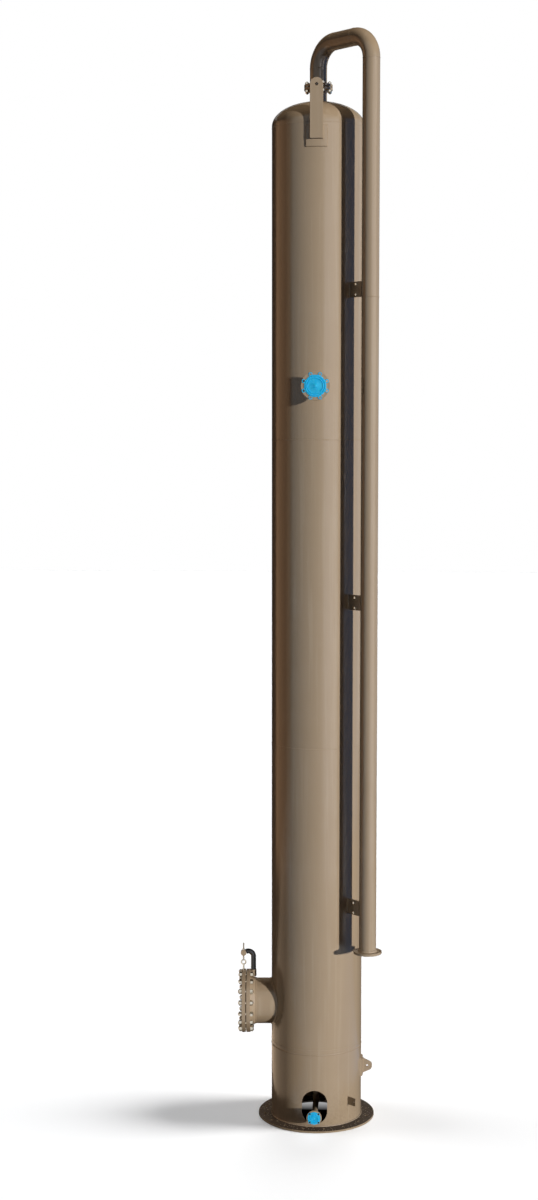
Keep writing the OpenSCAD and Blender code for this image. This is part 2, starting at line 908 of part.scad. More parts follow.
// The outline of the tailing lug, tapered from its root on the pad to a round end
module tailing_outline() {
    reach = tail_hole_x - tail_root;
    slope = atan((tail_root_h / 2 - tail_end_r) / reach);
    taper_x = reach + (tail_end_r - tail_blend) * sin(slope);
    taper_y = (tail_end_r - tail_blend) * cos(slope);
    translate([reach, 0]) circle(r = tail_end_r);
    polygon([
        [-tail_pad_t, -tail_root_h / 2], [0, -tail_root_h / 2], [taper_x, -taper_y],
        [taper_x, taper_y], [0, tail_root_h / 2], [-tail_pad_t, tail_root_h / 2]
    ]);
}

module tailing_lug() {
    color(tan_paint)
    at_bearing(90)
    difference() {
        translate([tail_root, tail_t / 2, tail_z])
            rotate([90, 0, 0])
            linear_extrude(tail_t)
            tailing_outline();
        translate([tail_hole_x, 0, tail_z])
            rotate([90, 0, 0])
            cylinder(h = 2 * tail_t, d = tail_hole_d, center = true);
        translate([0, 0, tail_z - tail_pad_h]) cylinder(h = 2 * tail_pad_h, r = tail_root);
    }
}

module grounding_lug() {
    tip = vessel_r + earth_reach;
    color(tan_paint)
    at_bearing(earth_bearing)
    difference() {
        translate([0, -earth_t / 2, earth_z - earth_h / 2]) cube([tip, earth_t, earth_h]);
        translate([0, 0, earth_z - earth_h]) cylinder(h = 2 * earth_h, r = vessel_r);
        translate([tip - earth_hole_edge, 0, earth_z])
            rotate([90, 0, 0])
            cylinder(h = 2 * earth_t, d = earth_hole_d, center = true);
    }
}

base_ring();
skirt();
bottom_head();
shell_lower();
shell_middle();
shell_upper();
top_head();
top_nozzle();
top_gasket();
riser_flange();
top_studs();
inner_elbow();
crossover();
outer_elbow();
downcomer();
downcomer_foot();
downcomer_flange();
shell_clip_low();
shell_clip_middle();
shell_clip_high();
pipe_clip_low();
pipe_clip_middle();
pipe_clip_high();
clip_bolts();
side_nozzle();
side_nozzle_cap();
manway_neck();
manway_flange();
manway_gasket();
manway_cover();
manway_studs();
davit_socket();
davit_arm();
davit_boss();
davit_screw();
cover_eye();
drain_pipe();
drain_flange();
drain_cap();
front_lug_pad();
back_lug_pad();
front_lifting_lug();
back_lifting_lug();
tailing_pad();
tailing_lug();
grounding_lug();
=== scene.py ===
import bpy
import math
from mathutils import Matrix, Vector


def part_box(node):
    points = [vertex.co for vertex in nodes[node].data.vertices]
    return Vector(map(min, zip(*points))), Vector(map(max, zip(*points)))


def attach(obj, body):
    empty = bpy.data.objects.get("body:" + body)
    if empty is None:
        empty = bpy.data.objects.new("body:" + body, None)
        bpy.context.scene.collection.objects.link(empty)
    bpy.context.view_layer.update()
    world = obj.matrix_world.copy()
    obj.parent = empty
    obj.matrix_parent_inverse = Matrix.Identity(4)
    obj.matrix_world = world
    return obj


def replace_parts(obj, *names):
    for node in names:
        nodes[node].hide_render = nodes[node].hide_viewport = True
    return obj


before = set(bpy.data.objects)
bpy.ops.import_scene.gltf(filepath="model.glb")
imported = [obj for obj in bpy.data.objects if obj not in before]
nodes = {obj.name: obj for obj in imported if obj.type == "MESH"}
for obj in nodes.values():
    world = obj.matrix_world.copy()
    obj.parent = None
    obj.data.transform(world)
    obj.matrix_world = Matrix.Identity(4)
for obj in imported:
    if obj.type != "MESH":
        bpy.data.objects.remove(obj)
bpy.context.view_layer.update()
mm = 0.001
print("frame loaded with", len(nodes), "nodes")


# Sizes that several pieces share: the vessel's outside radius, and places read from the frame
vesselR = 457.2 * mm
axisX = Vector((1, 0, 0))
axisY = Vector((0, 1, 0))
axisZ = Vector((0, 0, 1))
shellLevels = [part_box(name)[0].z for name in ("shell_lower", "shell_middle", "shell_upper")]
shellLevels.append(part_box("shell_upper")[1].z)
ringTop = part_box("base_ring")[1].z
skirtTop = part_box("skirt")[1].z
pipeLow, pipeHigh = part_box("downcomer")
pipeAxis = Vector(((pipeLow.x + pipeHigh.x) / 2, (pipeLow.y + pipeHigh.y) / 2, 0))
pipeR = (pipeHigh.x - pipeLow.x) / 2
outward = pipeAxis.normalized()  # from the vessel towards the downcomer
sideways = axisZ.cross(outward)


# Colours are written as sRGB hex and turned to linear here
def linear(hexColour):
    parts = [int(hexColour[i:i + 2], 16) / 255 for i in (1, 3, 5)]
    return [p / 12.92 if p <= 0.04045 else ((p + 0.055) / 1.055) ** 2.4 for p in parts] + [1.0]


# Adds a node, sets its properties, and fills or links its inputs
def addNode(tree, kind, inputs=None, **settings):
    node = tree.nodes.new(kind)
    for name, value in settings.items():
        setattr(node, name, value)
    for socket, value in (inputs or {}).items():
        if isinstance(value, bpy.types.NodeSocket):
            tree.links.new(value, node.inputs[socket])
        else:
            node.inputs[socket].default_value = value
    return node


def newMaterial(name, roughness, metallic=0.0, ior=1.5):
    material = bpy.data.materials.new(name)
    material.use_nodes = True
    tree = material.node_tree
    shader = tree.nodes["Principled BSDF"]
    shader.inputs["Roughness"].default_value = roughness
    shader.inputs["Metallic"].default_value = metallic
    shader.inputs["IOR"].default_value = ior
    place = addNode(tree, "ShaderNodeTexCoord").outputs["Object"]
    return material, tree, shader, place


# A material with an empty tree, for the things of the studio
def bareMaterial(name):
    material = bpy.data.materials.new(name)
    material.use_nodes = True
    material.node_tree.nodes.clear()
    return material, material.node_tree


# Tan enamel: a gloss alkyd coat sprayed on rolled steel plate. It shows a clear sheen, a faint orange
# peel, slow waves of the plate in its reflections, and dust that has run down in streaks. Near the
# ground it is splashed with dirt, and what faces up there is darkened with painted shade, with pale chips.
enamel = {
    "paint": "#AC9B85",
    "thin": "#A4937C",
    "dust": "#B9AC99",
    "grime": "#57493A",
    # painted shade: a dark tone on what faces up at the ground, where grazing light leaves it dim
    "paintedTopShade": "#3A3128",
    "fleck": "#CDBFA8",
    "roughness": (0.16, 0.24),
    "paintedTopShadeRoughness": 0.8,
    "ior": 1.45,
    "patchSize": 620,            # mm across a patch of slightly other tone
    "patchRange": (0.3, 0.7),    # of the noise, as the other ranges are
    "streakWidth": 45,           # mm, and streakLength along the fall of the rain
    "streakLength": 1400,
    "streakRange": (0.52, 0.8),
    "streakShare": 0.45,
    "speckSize": 26,             # mm between spots of dirt
    "speckRange": (0.45, 0.7),
    "grimeTop": 500,             # mm above the ground
    "grimeShare": 0.22,
    "paintedTopShadeHeight": 60,               # mm above the ground
    "paintedTopShadeFacing": (0.75, 0.95),  # how far up a face looks, from no painted shade to all of it
    "paintedTopShadeShare": 0.92,
    "fleckSize": 22,             # mm; real chips are a few mm, drawn larger so that they show
    "fleckRange": (0.66, 0.7),
    "fleckShare": 0.8,
    "peelSize": 14,              # mm; real orange peel is near 3 mm, drawn coarser so that it shows
    "peelDepth": 0.03,
    "waveSize": 420,             # mm between the slow waves of the rolled plate
    "waveDepth": 0.8,
    "bump": 0.5,
}


def makeEnamel():
    s = enamel
    material, tree, shader, place = newMaterial("tanEnamel", s["roughness"][0], ior=s["ior"])
    patch = addNode(tree, "ShaderNodeTexNoise",
                    {"Vector": place, "Scale": 1 / (s["patchSize"] * mm), "Detail": 4.0, "Roughness": 0.6})
    toned = addNode(tree, "ShaderNodeMix",
                    {0: patch.outputs["Fac"], 6: linear(s["paint"]), 7: linear(s["thin"])}, data_type="RGBA")
    acrossRain, alongRain = 1 / (s["streakWidth"] * mm), 1 / (s["streakLength"] * mm)
    stretch = addNode(tree, "ShaderNodeMapping",
                      {"Vector": place, "Scale": (acrossRain, acrossRain, alongRain)})
    streak = addNode(tree, "ShaderNodeTexNoise",
                     {"Vector": stretch.outputs["Vector"], "Scale": 1.0, "Detail": 3.0, "Roughness": 0.55})
    run = addNode(tree, "ShaderNodeMapRange",
                  {"Value": streak.outputs["Fac"], "From Min": s["streakRange"][0],
                   "From Max": s["streakRange"][1], "To Max": s["streakShare"]})
    dusty = addNode(tree, "ShaderNodeMix",
                    {0: run.outputs["Result"], 6: toned.outputs[2], 7: linear(s["dust"])}, data_type="RGBA")
    # Splashed dirt is thick at the ground and gone at grimeTop
    height = addNode(tree, "ShaderNodeSeparateXYZ", {"Vector": place})
    low = addNode(tree, "ShaderNodeMapRange",
                  {"Value": height.outputs["Z"], "From Min": 0.0, "From Max": s["grimeTop"] * mm,
                   "To Min": s["grimeShare"], "To Max": 0.0})
    speck = addNode(tree, "ShaderNodeTexNoise",
                    {"Vector": place, "Scale": 1 / (s["speckSize"] * mm), "Detail": 5.0, "Roughness": 0.7})
    spots = addNode(tree, "ShaderNodeMapRange",
                    {"Value": speck.outputs["Fac"], "From Min": s["speckRange"][0],
                     "From Max": s["speckRange"][1]})
    dirt = addNode(tree, "ShaderNodeMath", {0: low.outputs["Result"], 1: spots.outputs["Result"]},
                   operation="MULTIPLY")
    coat = addNode(tree, "ShaderNodeMix",
                   {0: dirt.outputs["Value"], 6: dusty.outputs[2], 7: linear(s["grime"])}, data_type="RGBA")
    # Painted shade on what faces up near the ground, as grazing light leaves it dim; flecks where the coat is
    # chipped
    facing = addNode(tree, "ShaderNodeSeparateXYZ",
                     {"Vector": addNode(tree, "ShaderNodeTexCoord").outputs["Normal"]})
    upward = addNode(tree, "ShaderNodeMapRange",
                     {"Value": facing.outputs["Z"], "From Min": s["paintedTopShadeFacing"][0],
                      "From Max": s["paintedTopShadeFacing"][1], "To Max": s["paintedTopShadeShare"]})
    atGround = addNode(tree, "ShaderNodeMapRange",
                       {"Value": height.outputs["Z"], "From Min": s["paintedTopShadeHeight"] * mm / 2,
                        "From Max": s["paintedTopShadeHeight"] * mm, "To Min": 1.0, "To Max": 0.0})
    # mask of the painted shade: faces that look up, low at the ground
    topShadeMask = addNode(tree, "ShaderNodeMath", {0: upward.outputs["Result"], 1: atGround.outputs["Result"]},
                   operation="MULTIPLY")
    topShaded = addNode(tree, "ShaderNodeMix",
                     {0: topShadeMask.outputs["Value"], 6: coat.outputs[2], 7: linear(s["paintedTopShade"])},
                     data_type="RGBA")
    chip = addNode(tree, "ShaderNodeTexNoise",
                   {"Vector": place, "Scale": 1 / (s["fleckSize"] * mm), "Detail": 1.0})
    fleck = addNode(tree, "ShaderNodeMapRange",
                    {"Value": chip.outputs["Fac"], "From Min": s["fleckRange"][0],
                     "From Max": s["fleckRange"][1], "To Max": s["fleckShare"]})
    flecked = addNode(tree, "ShaderNodeMath", {0: fleck.outputs["Result"], 1: topShadeMask.outputs["Value"]},
                      operation="MULTIPLY")
    finish = addNode(tree, "ShaderNodeMix",
                     {0: flecked.outputs["Value"], 6: topShaded.outputs[2], 7: linear(s["fleck"])},
                     data_type="RGBA")
    gloss = addNode(tree, "ShaderNodeMapRange",
                    {"Value": patch.outputs["Fac"], "From Min": s["patchRange"][0],
                     "From Max": s["patchRange"][1], "To Min": s["roughness"][0], "To Max": s["roughness"][1]})
    dull = addNode(tree, "ShaderNodeMix",
                   {0: topShadeMask.outputs["Value"], 2: gloss.outputs["Result"], 3: s["paintedTopShadeRoughness"]},
                   data_type="FLOAT")
    peel = addNode(tree, "ShaderNodeTexNoise",
                   {"Vector": place, "Scale": 1 / (s["peelSize"] * mm), "Detail": 2.0})
    wave = addNode(tree, "ShaderNodeTexNoise",
                   {"Vector": place, "Scale": 1 / (s["waveSize"] * mm), "Detail": 1.0})
    plate = addNode(tree, "ShaderNodeBump",
                    {"Strength": s["bump"], "Distance": s["waveDepth"] * mm, "Height": wave.outputs["Fac"]})
    skin = addNode(tree, "ShaderNodeBump",
                   {"Strength": s["bump"], "Distance": s["peelDepth"] * mm, "Height": peel.outputs["Fac"],
                    "Normal": plate.outputs["Normal"]})
    tree.links.new(finish.outputs[2], shader.inputs["Base Color"])
    tree.links.new(dull.outputs[0], shader.inputs["Roughness"])
    tree.links.new(skin.outputs["Normal"], shader.inputs["Normal"])
    return material


# Zinc plate: bright electroplated steel of nuts and studs. It mirrors its surroundings softly
# and has a faint yellow and blue bloom from the passivating bath. Sizes and depths are in mm.
zinc = {"cool": "#C6C7C5", "warm": "#C4B698", "roughness": 0.26, "bloomSize": 30,
        "bump": 0.3, "bloomDepth": 0.1}


def makeZinc():
    s = zinc
    material, tree, shader, place = newMaterial("zincPlatedSteel", s["roughness"], 1.0)
    bloom = addNode(tree, "ShaderNodeTexNoise",
                    {"Vector": place, "Scale": 1 / (s["bloomSize"] * mm), "Detail": 3.0})
    tint = addNode(tree, "ShaderNodeMix",
                   {0: bloom.outputs["Fac"], 6: linear(s["cool"]), 7: linear(s["warm"])}, data_type="RGBA")
    bite = addNode(tree, "ShaderNodeBump",
                   {"Strength": s["bump"], "Distance": s["bloomDepth"] * mm, "Height": bloom.outputs["Fac"]})
    tree.links.new(tint.outputs[2], shader.inputs["Base Color"])
    tree.links.new(bite.outputs["Normal"], shader.inputs["Normal"])
    return material


# Blue polyethylene: injection moulded caps. The plastic is a little cloudy, has a soft waxy
# gloss, fine flow marks, and pale scuffs. Sizes and depths are in mm.
plastic = {"blue": "#10C0FC", "pale": "#48D2FF", "roughness": 0.36, "flowSize": 24,
           "scuffRange": (0.45, 0.75), "scuffShare": 0.7, "bump": 0.2, "flowDepth": 0.2,
           "cloud": 0.15, "cloudDepth": 4}


def makePlastic():
    s = plastic
    material, tree, shader, place = newMaterial("bluePolyethylene", s["roughness"])
    flow = addNode(tree, "ShaderNodeTexNoise",
                   {"Vector": place, "Scale": 1 / (s["flowSize"] * mm), "Detail": 6.0, "Roughness": 0.65})
    scuff = addNode(tree, "ShaderNodeMapRange",
                    {"Value": flow.outputs["Fac"], "From Min": s["scuffRange"][0],
                     "From Max": s["scuffRange"][1], "To Max": s["scuffShare"]})
    tint = addNode(tree, "ShaderNodeMix",
                   {0: scuff.outputs["Result"], 6: linear(s["blue"]), 7: linear(s["pale"])},
                   data_type="RGBA")
    mark = addNode(tree, "ShaderNodeBump",
                   {"Strength": s["bump"], "Distance": s["flowDepth"] * mm, "Height": flow.outputs["Fac"]})
    shader.inputs["Subsurface Weight"].default_value = s["cloud"]
    shader.inputs["Subsurface Scale"].default_value = s["cloudDepth"] * mm
    tree.links.new(tint.outputs[2], shader.inputs["Base Color"])
    tree.links.new(mark.outputs["Normal"], shader.inputs["Normal"])
    return material


# Black enamel: brushed gloss paint on the davit bar, with slight brush waves and rubbed spots.
# Sizes and depths are in mm.
black = {"coat": "#0E0E0F", "rubbed": "#2B2A28", "roughness": 0.2, "brushSize": 18,
         "rubRange": (0.58, 0.7), "bump": 0.25, "brushDepth": 0.3}


def makeBlack():
    s = black
    material, tree, shader, place = newMaterial("blackEnamel", s["roughness"])
    brush = addNode(tree, "ShaderNodeTexNoise",
                    {"Vector": place, "Scale": 1 / (s["brushSize"] * mm), "Detail": 4.0})
    rub = addNode(tree, "ShaderNodeMapRange",
                  {"Value": brush.outputs["Fac"], "From Min": s["rubRange"][0], "From Max": s["rubRange"][1]})
    tint = addNode(tree, "ShaderNodeMix",
                   {0: rub.outputs["Result"], 6: linear(s["coat"]), 7: linear(s["rubbed"])},
                   data_type="RGBA")
    wave = addNode(tree, "ShaderNodeBump",
                   {"Strength": s["bump"], "Distance": s["brushDepth"] * mm, "Height": brush.outputs["Fac"]})
    tree.links.new(tint.outputs[2], shader.inputs["Base Color"])
    tree.links.new(wave.outputs["Normal"], shader.inputs["Normal"])
    return material


# Graphite gasket: pressed fibre sheet, dull and dark with a grainy cut edge. Sizes and depths are in mm.
graphite = {"sheet": "#2B2B2C", "grain": "#474645", "roughness": 0.7, "grainSize": 4,
            "bump": 0.5, "grainDepth": 0.4}


def makeGraphite():
    s = graphite
    material, tree, shader, place = newMaterial("graphiteSheet", s["roughness"])
    grain = addNode(tree, "ShaderNodeTexNoise",
                    {"Vector": place, "Scale": 1 / (s["grainSize"] * mm), "Detail": 3.0})
    tint = addNode(tree, "ShaderNodeMix",
                   {0: grain.outputs["Fac"], 6: linear(s["sheet"]), 7: linear(s["grain"])},
                   data_type="RGBA")
    rough = addNode(tree, "ShaderNodeBump",
                    {"Strength": s["bump"], "Distance": s["grainDepth"] * mm, "Height": grain.outputs["Fac"]})
    tree.links.new(tint.outputs[2], shader.inputs["Base Color"])
    tree.links.new(rough.outputs["Normal"], shader.inputs["Normal"])
    return material


finishOf = {
    "tan_paint": makeEnamel(),
    "zinc_plate": makeZinc(),
    "blue_plastic": makePlastic(),
    "black_paint": makeBlack(),
    "gasket": makeGraphite(),
}
zincNodes = ("top_studs", "clip_bolts", "manway_studs", "davit_screw", "cover_eye")
nodeSlots = {name: "tan_paint" for name in nodes}
nodeSlots.update({name: "zinc_plate" for name in zincNodes})
nodeSlots.update({name: "blue_plastic" for name in ("side_nozzle_cap", "drain_cap")})
nodeSlots.update({name: "gasket" for name in ("top_gasket", "manway_gasket")})
nodeSlots["davit_arm"] = "black_paint"
for name, slotName in nodeSlots.items():
    mesh = nodes[name].data
    if not mesh.materials:
        mesh.materials.append(finishOf[slotName])
    for index in range(len(mesh.materials)):
        mesh.materials[index] = finishOf[slotName]
print("materials made and set on the frame")


# Modelling helpers
def pick(*objs):
    if bpy.context.mode != "OBJECT":
        bpy.ops.object.mode_set(mode="OBJECT")
    bpy.ops.object.select_all(action="DESELECT")
    for obj in objs:
        obj.select_set(True)
    bpy.context.view_layer.objects.active = objs[0]


def joinAll(objs):
    pick(*objs)
    if len(objs) > 1:
        bpy.ops.object.join()
    return bpy.context.view_layer.objects.active


def addPiece(obj, name, slotName, smoothAngle=35):
    pick(obj)
    bpy.ops.object.transform_apply(location=True, rotation=True, scale=True)
    obj.name = name
    obj.data.name = name
    obj.data.materials.clear()
    obj.data.materials.append(finishOf[slotName])
    bpy.ops.object.shade_smooth_by_angle(angle=math.radians(smoothAngle))
    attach(obj, "root")
    print("piece", name, len(obj.data.polygons), "faces")
    return obj


# Copies a finished shape to a place, with a mesh of its own
def copyTo(obj, matrix):
    twin = obj.copy()
    twin.data = obj.data.copy()
    twin.data.transform(matrix)
    bpy.context.collection.objects.link(twin)
    return twin


def discard(obj):
    bpy.data.objects.remove(obj)


# Spins an outline of (radius, height) in mm round Z into a closed shape
def spinOutline(outline, steps):
    mesh = bpy.data.meshes.new("outline")
    mesh.from_pydata([(r * mm, 0, z * mm) for r, z in outline],
                     [(i, i + 1) for i in range(len(outline) - 1)], [])
    obj = bpy.data.objects.new("outline", mesh)
    bpy.context.collection.objects.link(obj)
    pick(obj)
    bpy.ops.object.mode_set(mode="EDIT")
    bpy.ops.mesh.select_all(action="SELECT")
    bpy.ops.mesh.spin(steps=steps, angle=2 * math.pi, center=(0, 0, 0), axis=(0, 0, 1))
    bpy.ops.mesh.select_all(action="SELECT")
    bpy.ops.mesh.remove_doubles(threshold=0.001 * mm)
    bpy.ops.mesh.normals_make_consistent(inside=False)
    bpy.ops.object.mode_set(mode="OBJECT")
    return obj


# Weld beads: round wire laid along the joint, with the ripple that the welder's hand leaves
weld = {
    "step": 5,             # mm between points along a bead
    "ripple": 17,          # mm from ripple to ripple, coarser than the real 4 mm so that it shows
    "rippleDepth": 0.1,    # share of the bead's radius
}


def evenly(points, closed):
    ends = points + points[:1] if closed else points
    spaced = []
    for a, b in zip(ends, ends[1:]):
        count = max(1, round((b - a).length / (weld["step"] * mm)))
        spaced += [a.lerp(b, i / count) for i in range(count)]
    return spaced if closed else spaced + [ends[-1]]


def bead(points, width, closed=True):
    spots = evenly(points, closed)
    wire = bpy.data.curves.new("bead", "CURVE")
    wire.dimensions = "3D"
    wire.bevel_depth = width * mm / 2
    wire.bevel_resolution = 1
    wire.use_fill_caps = True
    line = wire.splines.new("POLY")
    line.points.add(len(spots) - 1)
    line.use_cyclic_u = closed
    turn = 2 * math.pi * weld["step"] / weld["ripple"]
    for i, (knot, spot) in enumerate(zip(line.points, spots)):
        knot.co = (*spot, 1)
        knot.radius = 1 + weld["rippleDepth"] * math.sin(i * turn)
    obj = bpy.data.objects.new("bead", wire)
    bpy.context.collection.objects.link(obj)
    pick(obj)
    bpy.ops.object.convert(target="MESH")
    return bpy.context.view_layer.objects.active


def circle(centre, u, v, radius, count=180):
    return [centre + radius * (math.cos(t) * u + math.sin(t) * v)
            for t in (2 * math.pi * i / count for i in range(count))]


# How far a node reaches along a direction, as its least and greatest distance
def reachOf(node, direction):
    along = [vertex.co.dot(direction) for vertex in nodes[node].data.vertices]
    return min(along), max(along)


# A point on a cylinder round the vessel axis; bearing 0 is the front, 90 is +X
def onShell(bearing, z, radius=vesselR):
    b = math.radians(bearing)
    return Vector((radius * math.sin(b), -radius * math.cos(b), z))


# Seams of the vessel: girth welds, and the long welds at the back, staggered from course to course
seams = {"width": 16, "sunk": 6.6, "longBearings": (152, 204, 168),
         "skirtBearing": 186, "skirtRaise": 1.5, "ringFillet": 15, "ringRaise": 1}
seamR = vesselR - seams["sunk"] * mm
beads = [bead(circle(axisZ * z, axisX, axisY, seamR), seams["width"]) for z in shellLevels]
for bearing, low, high in zip(seams["longBearings"], shellLevels, shellLevels[1:]):
    beads.append(bead([onShell(bearing, low, seamR), onShell(bearing, high, seamR)], seams["width"], False))
addPiece(joinAll(beads), "vessel_seam_welds", "tan_paint")

ringRaise = seams["ringRaise"] * mm
beads = [
    bead(circle(axisZ * skirtTop, axisX, axisY, seamR + seams["skirtRaise"] * mm), seams["width"]),
    bead(circle(axisZ * (ringTop + ringRaise), axisX, axisY, vesselR + ringRaise), seams["ringFillet"]),
    bead([onShell(seams["skirtBearing"], ringTop, seamR), onShell(seams["skirtBearing"], skirtTop, seamR)],
         seams["width"], False),
]
addPiece(joinAll(beads), "skirt_welds", "tan_paint")


# Welds of the nozzles: where a neck meets the shell, and round the hub of each flange
necks = {"fillet": 16, "manwayFillet": 20, "hubFillet": 11, "drainFillet": 7, "manwayBearing": -87,
         "hubLength": 39.6, "drainHub": 25.4, "drainR": 30.15}
manwayOut = onShell(necks["manwayBearing"], 0, 1)
manwayAcross = axisZ.cross(manwayOut)
manwayLow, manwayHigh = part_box("manway_neck")
manwayR = (manwayHigh.z - manwayLow.z) / 2
manwayZ = (manwayHigh.z + manwayLow.z) / 2
sideLow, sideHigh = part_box("side_nozzle")
sideZ = (sideLow.z + sideHigh.z) / 2
drainLow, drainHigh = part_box("drain_flange")
drainZ = (drainLow.z + drainHigh.z) / 2


def saddle(z, radius, bearing, count=120):
    out = onShell(bearing, 0, 1)
    across = axisZ.cross(out)
    spots = []
    for i in range(count):
        t = 2 * math.pi * i / count
        side = radius * math.cos(t)
        reach = math.sqrt(vesselR ** 2 - side ** 2)
        spots.append(axisZ * (z + radius * math.sin(t)) + across * side + out * reach)
    return spots


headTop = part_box("top_head")[1].z
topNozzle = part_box("top_nozzle")[1].z
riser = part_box("riser_flange")
hubLength, drainHub, drainR = [necks[key] * mm for key in ("hubLength", "drainHub", "drainR")]
manwayHubEnd, manwayFace = reachOf("manway_flange", manwayOut)
beads = [
    bead(saddle(manwayZ, manwayR, necks["manwayBearing"]), necks["manwayFillet"]),
    bead(saddle(sideZ, pipeR, 0), necks["fillet"]),
    bead(circle(axisZ * headTop, axisX, axisY, pipeR), necks["fillet"]),
    bead(circle(axisZ * (topNozzle - hubLength), axisX, axisY, pipeR), necks["hubFillet"]),
    bead(circle(axisZ * (riser[0].z + hubLength), axisX, axisY, pipeR), necks["hubFillet"]),
    bead(circle(pipeAxis + axisZ * (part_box("downcomer_flange")[0].z + hubLength), axisX, axisY, pipeR),
         necks["hubFillet"]),
    bead(circle(Vector((0, sideLow.y + hubLength, sideZ)), axisX, axisZ, pipeR), necks["hubFillet"]),
    bead(circle(manwayOut * manwayHubEnd + axisZ * manwayZ, manwayAcross, axisZ, manwayR),
         necks["hubFillet"]),
    bead(circle(Vector((0, drainLow.y + drainHub, drainZ)), axisX, axisZ, drainR), necks["drainFillet"]),
]
addPiece(joinAll(beads), "nozzle_welds", "tan_paint")


# Butt welds of the vapour pipe: both ends of each elbow, and one joint high on the downcomer
pipeJoints = {"width": 12, "sunk": 4, "elbowR": 228.6, "stockLength": 6400}
jointR = pipeR - pipeJoints["sunk"] * mm
elbowR = pipeJoints["elbowR"] * mm
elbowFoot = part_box("inner_elbow")[0].z
crossZ = (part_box("crossover")[0].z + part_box("crossover")[1].z) / 2
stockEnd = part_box("downcomer_foot")[0].z + pipeJoints["stockLength"] * mm
pipeReach = pipeAxis.length
joints = [
    (axisZ * elbowFoot, axisX, axisY),
    (outward * elbowR + axisZ * crossZ, sideways, axisZ),
    (outward * (pipeReach - elbowR) + axisZ * crossZ, sideways, axisZ),
    (pipeAxis + axisZ * elbowFoot, axisX, axisY),
    (pipeAxis + axisZ * stockEnd, axisX, axisY),
]
beads = [bead(circle(centre, u, v, jointR), pipeJoints["width"]) for centre, u, v in joints]
addPiece(joinAll(beads), "pipe_welds", "tan_paint")


# Welds of lugs and pads: round each pad, round each lug on its pad, and round the grounding lug
lugs = {"fillet": 12, "padT": 12.7, "padSteps": 12, "tailBearing": 90, "tailPadT": 19,
        "earthBearing": 47, "earthT": 9.5, "earthFillet": 9}


def padOutline(bearing, width, zLow, zHigh):
    half = math.degrees(math.asin(width / 2 / vesselR))
    sweep = [bearing - half + 2 * half * i / lugs["padSteps"] for i in range(lugs["padSteps"] + 1)]
    return [onShell(b, zLow) for b in sweep] + [onShell(b, zHigh) for b in reversed(sweep)]


def plateOutline(bearing, radius, thick, zLow, zHigh):
    side = axisZ.cross(onShell(bearing, 0, 1)) * thick / 2
    return [onShell(bearing, z, radius) + s for z, s in
            ((zLow, -side), (zLow, side), (zHigh, side), (zHigh, -side))]


beads = []
for name, bearing in (("front", 0), ("back", 180)):
    padLow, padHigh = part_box(name + "_lug_pad")
    barLow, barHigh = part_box(name + "_lifting_lug")
    beads.append(bead(padOutline(bearing, padHigh.x - padLow.x, padLow.z, padHigh.z), lugs["fillet"]))
    line = plateOutline(bearing, vesselR + lugs["padT"] * mm, barHigh.x - barLow.x, barLow.z, padHigh.z)
    beads.append(bead([line[3], line[0], line[1], line[2]], lugs["fillet"], False))
tailLow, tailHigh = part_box("tailing_pad")
lugLow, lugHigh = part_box("tailing_lug")
earthLow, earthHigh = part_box("grounding_lug")
tailSeat = vesselR + lugs["tailPadT"] * mm
beads += [
    bead(padOutline(lugs["tailBearing"], tailHigh.y - tailLow.y, tailLow.z, tailHigh.z), lugs["fillet"]),
    bead(plateOutline(lugs["tailBearing"], tailSeat, lugHigh.y - lugLow.y, lugLow.z, lugHigh.z),
         lugs["fillet"]),
    bead(plateOutline(lugs["earthBearing"], vesselR, lugs["earthT"] * mm, earthLow.z, earthHigh.z),
         lugs["earthFillet"]),
]
addPiece(joinAll(beads), "lug_welds", "tan_paint")


# Welds of the downcomer brackets, on the shell and on the pipe
brackets = {"bearing": 45, "fillet": 9, "plateT": 9.5}
clipT = brackets["plateT"] * mm
beads = []
for level in ("low", "middle", "high"):
    clipLow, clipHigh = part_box("shell_clip_" + level)
    onVessel = plateOutline(brackets["bearing"], vesselR, clipT, clipLow.z, clipHigh.z)
    onPipe = plateOutline(brackets["bearing"], pipeReach - pipeR, clipT, clipLow.z, clipHigh.z)
    beads.append(bead([p - sideways * (clipT / 2) for p in onVessel], brackets["fillet"]))
    beads.append(bead([p + sideways * (clipT / 2) for p in onPipe], brackets["fillet"]))
addPiece(joinAll(beads), "bracket_welds", "tan_paint")
print("welds made")


# Studs with nuts: a threaded rod spun from a zigzag outline, and a hexagon nut with turned corners
topStuds = {"rod": 19, "flats": 31.8, "nut": 18.7, "end": 7, "pitch": 2.5, "circle": 241.3, "count": 8}
manwayStuds = {"rod": 28.6, "flats": 46, "nut": 28.2, "end": 7, "pitch": 3.2, "circle": 577.9, "count": 16}
clipBolts = {"rod": 16, "flats": 24, "nut": 12.8, "end": 7, "pitch": 2, "spacing": 100}
thread = {"depth": 0.6, "lead": 0.8, "first": 0.3,  # shares of the pitch
          "tip": 1, "shoulder": 0.5, "steps": 20}
hexagon = {"turned": 0.94, "slope": 0.55, "blank": 1.2, "clear": 0.5, "steps": 36}
cutAngle = 30  # degrees; an edge of cut metal that turns more stays sharp


def threadedRod(s, length):
    top, outer = length / 2, s["rod"] / 2
    root = outer - thread["depth"] * s["pitch"]
    turns = round((s["nut"] + s["end"]) / s["pitch"])
    outline = [(0, top), (root - thread["tip"], top),
               (outer - thread["shoulder"], top - thread["lead"] * s["pitch"])]
    for i in range(1, turns):
        z = top - (i + thread["first"]) * s["pitch"]
        outline += [(root, z), (outer, z - s["pitch"] / 2)]
    outline += [(r, -z) for r, z in reversed(outline)]
    return spinOutline(outline, thread["steps"])


